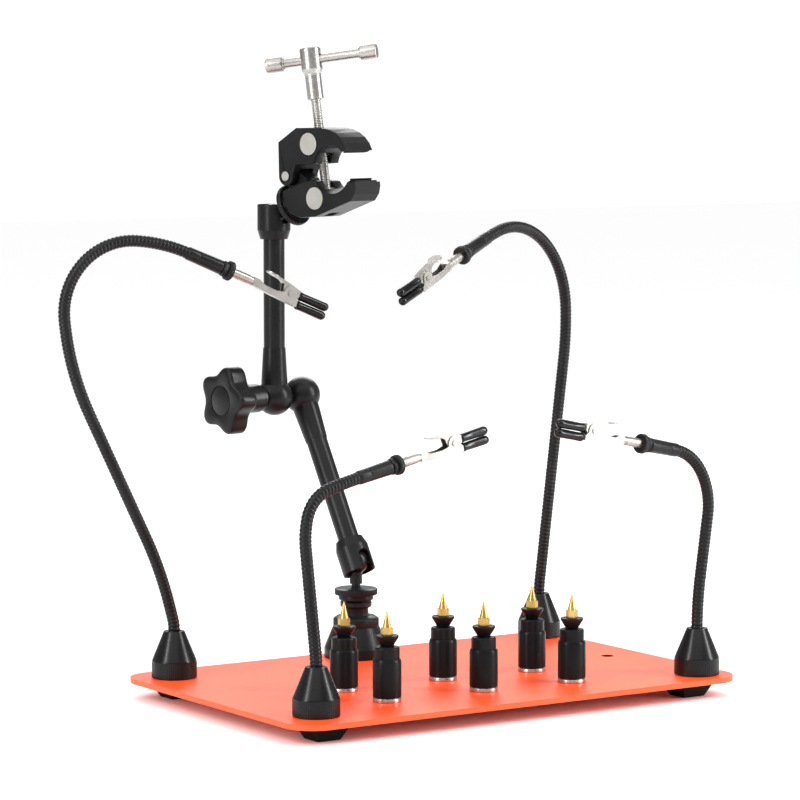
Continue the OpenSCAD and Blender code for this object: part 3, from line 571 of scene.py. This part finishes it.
def clamp_screw():
    """A threaded rod with a plain shaft and a T-head that the bar passes through."""
    rings = []
    count = 40
    start, stop = -8.9, 58.2
    step = SCREW_PITCH / 6
    height = start
    while height <= stop:
        ring = []
        for k in range(count):
            wave = ((height - start) / SCREW_PITCH + k / count) % 1.0
            deep = abs(2 * wave - 1)
            fade = min(1.0, (height - start) / 1.2, max(0.0, (stop - 0.4 - height) / 0.6))
            r = SCREW_R - THREAD_DEPTH * deep * max(0.0, fade) - 0.5 * max(0.0, 1 - (height - start) / 0.8)
            turn = 2 * math.pi * k / count
            ring.append((r * math.cos(turn), r * math.sin(turn), height))
        rings.append(ring)
        height += step
    verts, faces = skin(rings)
    new_piece("screw_thread", [SCREW @ (Vector(v) * MM) for v in verts], faces, "screw", "screw_nickel",
              ("clamp_screw",), 75.0)
    head = lathe("screw_head",
                 [(0, 58.0), (4.3, 58.0), (4.75, 58.5), (4.75, 72.2), (4.9, 72.6), (4.9, 73.0), (5.2, 73.6),
                  (6.0, 75.4), (6.18, 76.2), (6.18, 87.9), (5.9, 88.45), (5.5, 88.6), (0, 88.6)],
                 SCREW, "screw", "screw_nickel", count=72, soften=0.2, smooth_angle=35)
    bar_axis = Vector(JOINTS["bar_slide"]["axis"])
    cutter_place = axes(SCREW @ Vector((0, 0, BAR_HEIGHT * MM)), bar_axis)
    verts, faces = skin(lathe_rows([(BAR_HOLE_R, -9, 0), (BAR_HOLE_R, 9, 0)], 48))
    mesh = bpy.data.meshes.new("head_cutter")
    mesh.from_pydata([cutter_place @ (Vector(v) * MM) for v in verts], [], faces)
    cutter = bpy.data.objects.new("head_cutter", mesh)
    bpy.context.scene.collection.objects.link(cutter)
    cut = head.modifiers.new("bar_hole", "BOOLEAN")
    cut.operation = "DIFFERENCE"
    cut.object = cutter
    cut.solver = "EXACT"
    bpy.context.view_layer.update()
    done = bpy.data.meshes.new_from_object(head.evaluated_get(bpy.context.evaluated_depsgraph_get()))
    head.modifiers.clear()
    head.data = done
    bpy.data.objects.remove(cutter)


def sliding_bar():
    """The bar through the T-head, with a round cap on each end."""
    centre = SCREW @ Vector((0, 0, BAR_HEIGHT * MM))
    place = axes(centre, JOINTS["bar_slide"]["axis"])
    low, high = BAR_ENDS
    cap = [(0, 0), (4.0, 0), (4.4, 0.4), (4.45, 1.0), (4.45, 9.4), (4.2, 9.9), (3.4, 10.1), (3.4, 10.9)]
    profile = [(r, low + d) for r, d in cap] + [(BAR_R, low + 11.0), (BAR_R, high - 11.0)]
    profile += [(r, high - d) for r, d in reversed(cap)]
    lathe("tommy_bar_shell", profile, place, "tommy_bar", "screw_nickel", ("sliding_bar",), count=48,
          soften=0.18, smooth_angle=35)


def extruded(name, outline, half, body, slot, replaces=(), smooth_angle=30.0):
    """A side view in the clamp's own plane, in mm, made 2 * half wide."""
    count = len(outline)
    verts = [(x, y, -half) for x, y in outline] + [(x, y, half) for x, y in outline]
    faces = [tuple(range(count))[::-1], tuple(range(count, 2 * count))]
    faces += [(i, (i + 1) % count, (i + 1) % count + count, i + count) for i in range(count)]
    return new_piece(name, [CLAMP @ (Vector(v) * MM) for v in verts], faces, body, slot, replaces,
                     smooth_angle)


def arc_ribs(centre, radius, start, stop, count, height, inward):
    """The outline of a ribbed strip laid on a round throat, from start to stop in degrees."""
    teeth, back = [], []
    for k in range(count + 1):
        turn = math.radians(start + (stop - start) * k / count)
        teeth.append((centre[0] + radius * math.cos(turn), centre[1] + radius * math.sin(turn)))
        back.append((centre[0] + (radius + inward) * math.cos(turn),
                     centre[1] + (radius + inward) * math.sin(turn)))
        if k < count:
            turn = math.radians(start + (stop - start) * (k + 0.5) / count)
            r = radius - height
            teeth.append((centre[0] + r * math.cos(turn), centre[1] + r * math.sin(turn)))
    return teeth + back[::-1]


clamp_screw()
sliding_bar()
# ribbed strips in the two round throats, sunk into the jaws behind them
extruded("lower_throat_ribs", arc_ribs((15.5, 15.8), 15.05, 282, 328, 9, 0.55, 0.6), PAD_HALF,
         "clamp_base", "pad_rubber")
extruded("upper_throat_ribs", arc_ribs((14.5, 16), 13.05, 38, 112, 12, 0.55, 0.6), PAD_HALF,
         "clamp_arm", "pad_rubber")

# toothed pads at the two tips
low_teeth = [(27.25, 4.3), (27.3, 5.75)]
for k in range(5):
    low_teeth += [(27.5 + k, 6.15), (28.0 + k, 5.55)]
low_teeth += [(32.3, 5.9), (32.35, 3.3), (28.7, 3.3)]
extruded("lower_tip_pad", low_teeth, PAD_HALF, "clamp_base", "pad_rubber", ("lower_jaw_pad",))
high_teeth = [(24.9, 25.3), (24.9, 23.3)]
for k in range(4):
    high_teeth += [(25.1 + k * 0.95, 23.05), (25.6 + k * 0.95, 23.7)]
high_teeth += [(28.9, 23.2), (28.9, 25.3)]
extruded("upper_tip_pad", high_teeth, PAD_HALF, "clamp_arm", "pad_rubber", ("upper_jaw_pad",))

# ---------------------------------------------------------------- carried-over nodes

SLOT_OF = {row["node"]: row["material_slot"] for row in RECORD["subparts"]}
# Bevel widths in mm
BEVEL_MM = {"clamp_lower_jaw": 0.5, "clamp_upper_jaw": 0.5, "clamp_pivot": 0.15,
            "lower_link": 0.25, "upper_link": 0.25, "lower_ball_stud": 0.2, "upper_ball_stud": 0.2}
for name, slot in SLOT_OF.items():
    shown = bpy.data.objects[name]
    if not shown.material_slots:
        shown.data.materials.append(MATERIALS[slot])
    for material_slot in shown.material_slots:
        material_slot.material = MATERIALS[slot]
    if name in BEVEL_MM:
        welded = name.startswith("clamp_")
        if welded:
            # the CAD mesh's faces don't share their points, which the bevel needs
            weld = shown.modifiers.new("weld", "WELD")
            weld.merge_threshold = 0.000002
        edge = shown.modifiers.new("edge", "BEVEL")
        edge.width = BEVEL_MM[name] * MM
        edge.segments = 2
        edge.limit_method = "ANGLE"
        edge.angle_limit = math.radians(38)
        edge.harden_normals = welded
        edge.use_clamp_overlap = not welded

# ---------------------------------------------------------------- stage


def stage_mesh(name, size, height):
    """A flat square of 2 * size, in metres."""
    corners = [(-size, -size, height), (size, -size, height), (size, size, height), (-size, size, height)]
    mesh = bpy.data.meshes.new(name)
    mesh.from_pydata(corners, [], [(0, 1, 2, 3)])
    made = bpy.data.objects.new(name, mesh)
    bpy.context.scene.collection.objects.link(made)
    return made


floor = stage_mesh("floor", 6.0, 0.0)
paper = bpy.data.materials.new("pale_paper")
paper.use_nodes = True
paper_shader = paper.node_tree.nodes["Principled BSDF"]
paper_shader.inputs["Base Color"].default_value = (0.95, 0.95, 0.95, 1)
paper_shader.inputs["Roughness"].default_value = 0.75
floor.data.materials.append(paper)

world = bpy.data.worlds.new("studio")
bpy.context.scene.world = world
world.use_nodes = True
sky = world.node_tree
sky.nodes.clear()
sky_out = sky.nodes.new("ShaderNodeOutputWorld")
# a white sweep behind the object, and a dimmer room that lights it
sweep = node(sky, "ShaderNodeBackground", Color=(1, 1, 1, 1), Strength=1.1)
room = node(sky, "ShaderNodeBackground", Color=(1, 1, 1, 1), Strength=0.42)
pick = sky.nodes.new("ShaderNodeMixShader")
seen = sky.nodes.new("ShaderNodeLightPath")
sky.links.new(seen.outputs["Is Camera Ray"], pick.inputs["Fac"])
sky.links.new(room.outputs["Background"], pick.inputs[1])
sky.links.new(sweep.outputs["Background"], pick.inputs[2])
sky.links.new(pick.outputs["Shader"], sky_out.inputs["Surface"])


def light(name, kind, place, aim, power):
    """A lamp at a place in metres, pointed at another."""
    data = bpy.data.lights.new(name, kind)
    data.energy = power
    made = bpy.data.objects.new(name, data)
    made.location = place
    made.rotation_mode = "QUATERNION"
    made.rotation_quaternion = (Vector(aim) - Vector(place)).to_track_quat("-Z", "Y")
    bpy.context.scene.collection.objects.link(made)
    return data


def softbox(name, place, size, power):
    """A rectangular area lamp pointed at the middle of the object."""
    data = light(name, "AREA", place, MIDDLE, power)
    data.shape = "RECTANGLE"
    data.size, data.size_y = size


MIDDLE = (0, 0.02, 0.15)
softbox("left_box", (-1.59, -0.18, 0.75), (0.24, 1.3), 20)
softbox("right_box", (1.10, -1.02, 0.75), (0.2, 1.3), 28)
softbox("rear_box", (0.75, 1.25, 1.0), (1.2, 0.7), 12)
overhead = light("overhead", "SUN", (-0.5, -0.4, 2.0), MIDDLE, 2.2)
overhead.angle = math.radians(90)
bpy.context.scene.view_settings.view_transform = "Standard"

# ---------------------------------------------------------------- camera

# The camera that the plate's outline gives: where it looks from, in metres above the plate's top
VIEW_AZIMUTH = math.radians(-33.397)
VIEW_ELEVATION = math.radians(5.231)
CAMERA_X, CAMERA_Y, CAMERA_HEIGHT = -1.1355, -1.6887, 0.3453
SENSOR_MM = 36.0
LENS_MM = 160.98
camera_data = bpy.data.cameras.new("camera")
camera_data.sensor_width = SENSOR_MM
camera_data.lens = LENS_MM
camera = bpy.data.objects.new("camera", camera_data)
bpy.context.scene.collection.objects.link(camera)
back = Vector((math.sin(VIEW_AZIMUTH) * math.cos(VIEW_ELEVATION),
               -math.cos(VIEW_AZIMUTH) * math.cos(VIEW_ELEVATION), math.sin(VIEW_ELEVATION)))
camera.location = (CAMERA_X, CAMERA_Y, CAMERA_HEIGHT + PLATE_TOP)
camera.rotation_mode = "QUATERNION"
camera.rotation_quaternion = (-back).to_track_quat("-Z", "Y")
bpy.context.scene.camera = camera
